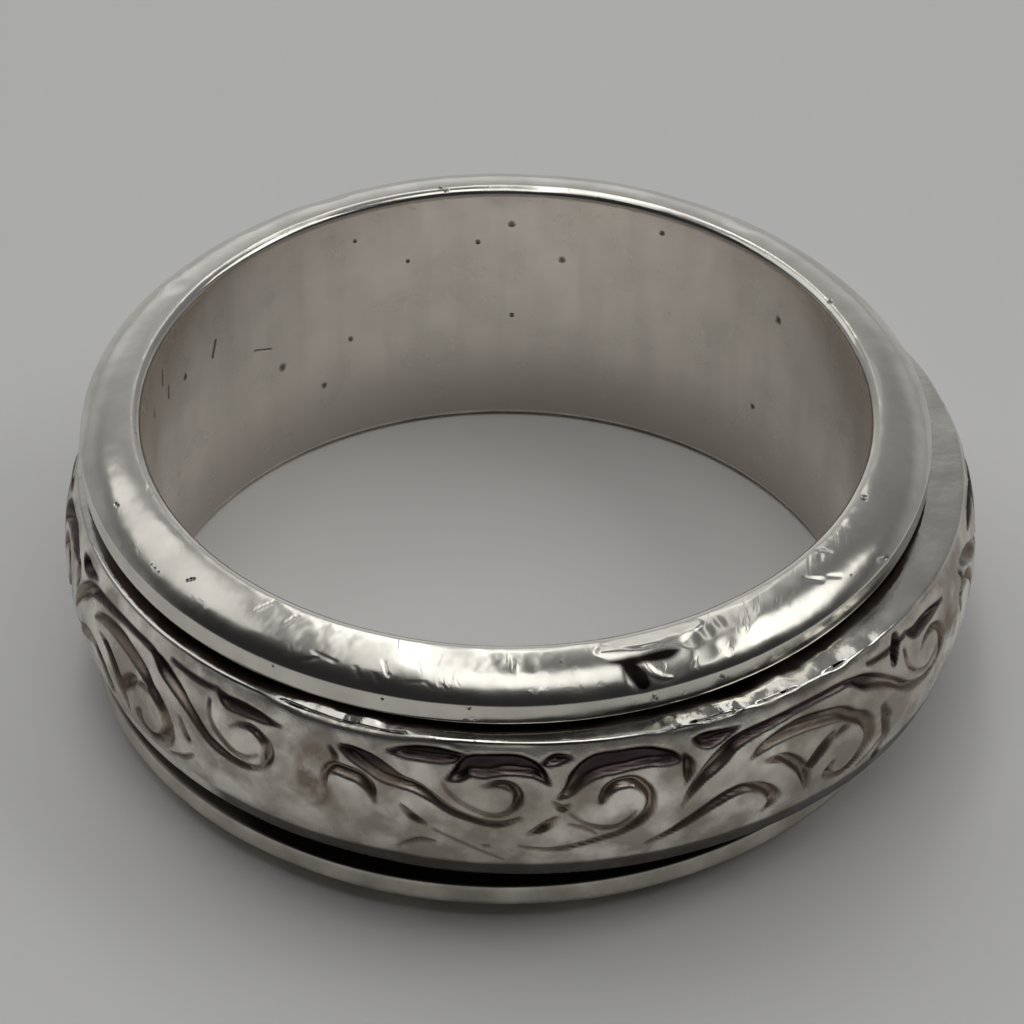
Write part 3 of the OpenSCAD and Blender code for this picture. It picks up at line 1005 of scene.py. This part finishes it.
def table_finish():
    """Plain pale table."""
    material, nodes, links, shader = new_material("pale_table")
    tone = blended(nodes, links, cloud(nodes, links, scale=60, detail=4), TABLE_DEEP, TABLE_PALE)
    links.new(tone, shader.inputs["Base Color"])
    shader.inputs["Roughness"].default_value = 0.6
    return material


def make_table():
    """The plain table that the ring lies on."""
    shape = bmesh.new()
    bmesh.ops.create_grid(shape, x_segments=1, y_segments=1, size=1.5)
    mesh = bpy.data.meshes.new("table")
    shape.to_mesh(mesh)
    shape.free()
    mesh.transform(Matrix.Translation((0, 0, inner_low.z)))
    mesh.materials.append(table_finish())
    table = bpy.data.objects.new("table", mesh)
    bpy.context.scene.collection.objects.link(table)


def add_softbox(name, across, back, width, depth, turn, brightness):
    """A soft light that faces straight down, placed in units of its own height."""
    lamp = bpy.data.lights.new(name, "AREA")
    lamp.shape = "RECTANGLE"
    lamp.size = width * SKY_HEIGHT
    lamp.size_y = depth * SKY_HEIGHT
    lamp.energy = brightness * math.pi * lamp.size * lamp.size_y
    box = bpy.data.objects.new(name, lamp)
    bpy.context.scene.collection.objects.link(box)
    box.location = (across * SKY_HEIGHT, back * SKY_HEIGHT, SKY_HEIGHT)
    box.rotation_euler = (0, 0, math.radians(turn))


def light_the_room():
    """Plain soft studio light from above and behind, in a room that is dark on the camera's side."""
    for softbox in SOFTBOXES:
        add_softbox(*softbox)
    world = bpy.data.worlds.new("room")
    world.use_nodes = True
    nodes = world.node_tree.nodes
    links = world.node_tree.links
    background = nodes["Background"]
    place = nodes.new("ShaderNodeTexCoord")
    parts = nodes.new("ShaderNodeSeparateXYZ")
    links.new(place.outputs["Generated"], parts.inputs["Vector"])
    room = ranged(nodes, links, parts.outputs["Y"], -0.1, 0.95, to_low=0.02, to_high=0.3)
    glow = ranged(nodes, links, parts.outputs["Z"], 0.2, 0.35, to_low=0.12, to_high=0)
    facing = nodes.new("ShaderNodeVectorMath")
    facing.operation = "DOT_PRODUCT"
    facing.inputs[1].default_value = BACK_WINDOW
    links.new(place.outputs["Generated"], facing.inputs[0])
    window = ranged(nodes, links, facing.outputs["Value"], 0.86, 0.99, to_low=0, to_high=0.3)
    light = combined(nodes, links, "ADD", combined(nodes, links, "ADD", room, window), glow)
    links.new(light, background.inputs["Strength"])
    background.inputs["Color"].default_value = (*ROOM_LIGHT, 1)
    bpy.context.scene.world = world
    bpy.context.scene.view_settings.view_transform = "Standard"


def place_camera():
    """The camera at the photograph's viewing angle."""
    distance = 0.11
    elevation = math.radians(39.636)
    roll = math.radians(0.369)
    aim_across = 0.000173
    aim_up = 0.000175
    back = Vector((0, -math.cos(elevation), math.sin(elevation)))
    upward = Vector((0, math.sin(elevation), math.cos(elevation)))
    aim = Vector((aim_across, 0, 0)) + upward * aim_up
    lens = bpy.data.cameras.new("camera")
    lens.sensor_width = 36
    lens.lens = 144.9
    lens.clip_start = 0.005
    camera = bpy.data.objects.new("camera", lens)
    bpy.context.scene.collection.objects.link(camera)
    turn = (-back).to_track_quat("-Z", "Y").to_matrix().to_4x4()
    camera.matrix_world = Matrix.Translation(aim + back * distance) @ turn @ Matrix.Rotation(roll, 4, "Z")
    bpy.context.scene.camera = camera


place_camera()
inner_band = make_inner_band()
inner_band.data.materials.append(polished_silver())
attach(inner_band, "ring")
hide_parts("inner_band")

spinner_band = make_spinner_band()
spinner_band.data.materials.append(oxidised_silver())
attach(spinner_band, "spinner")
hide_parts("spinner_band")

make_table()
light_the_room()
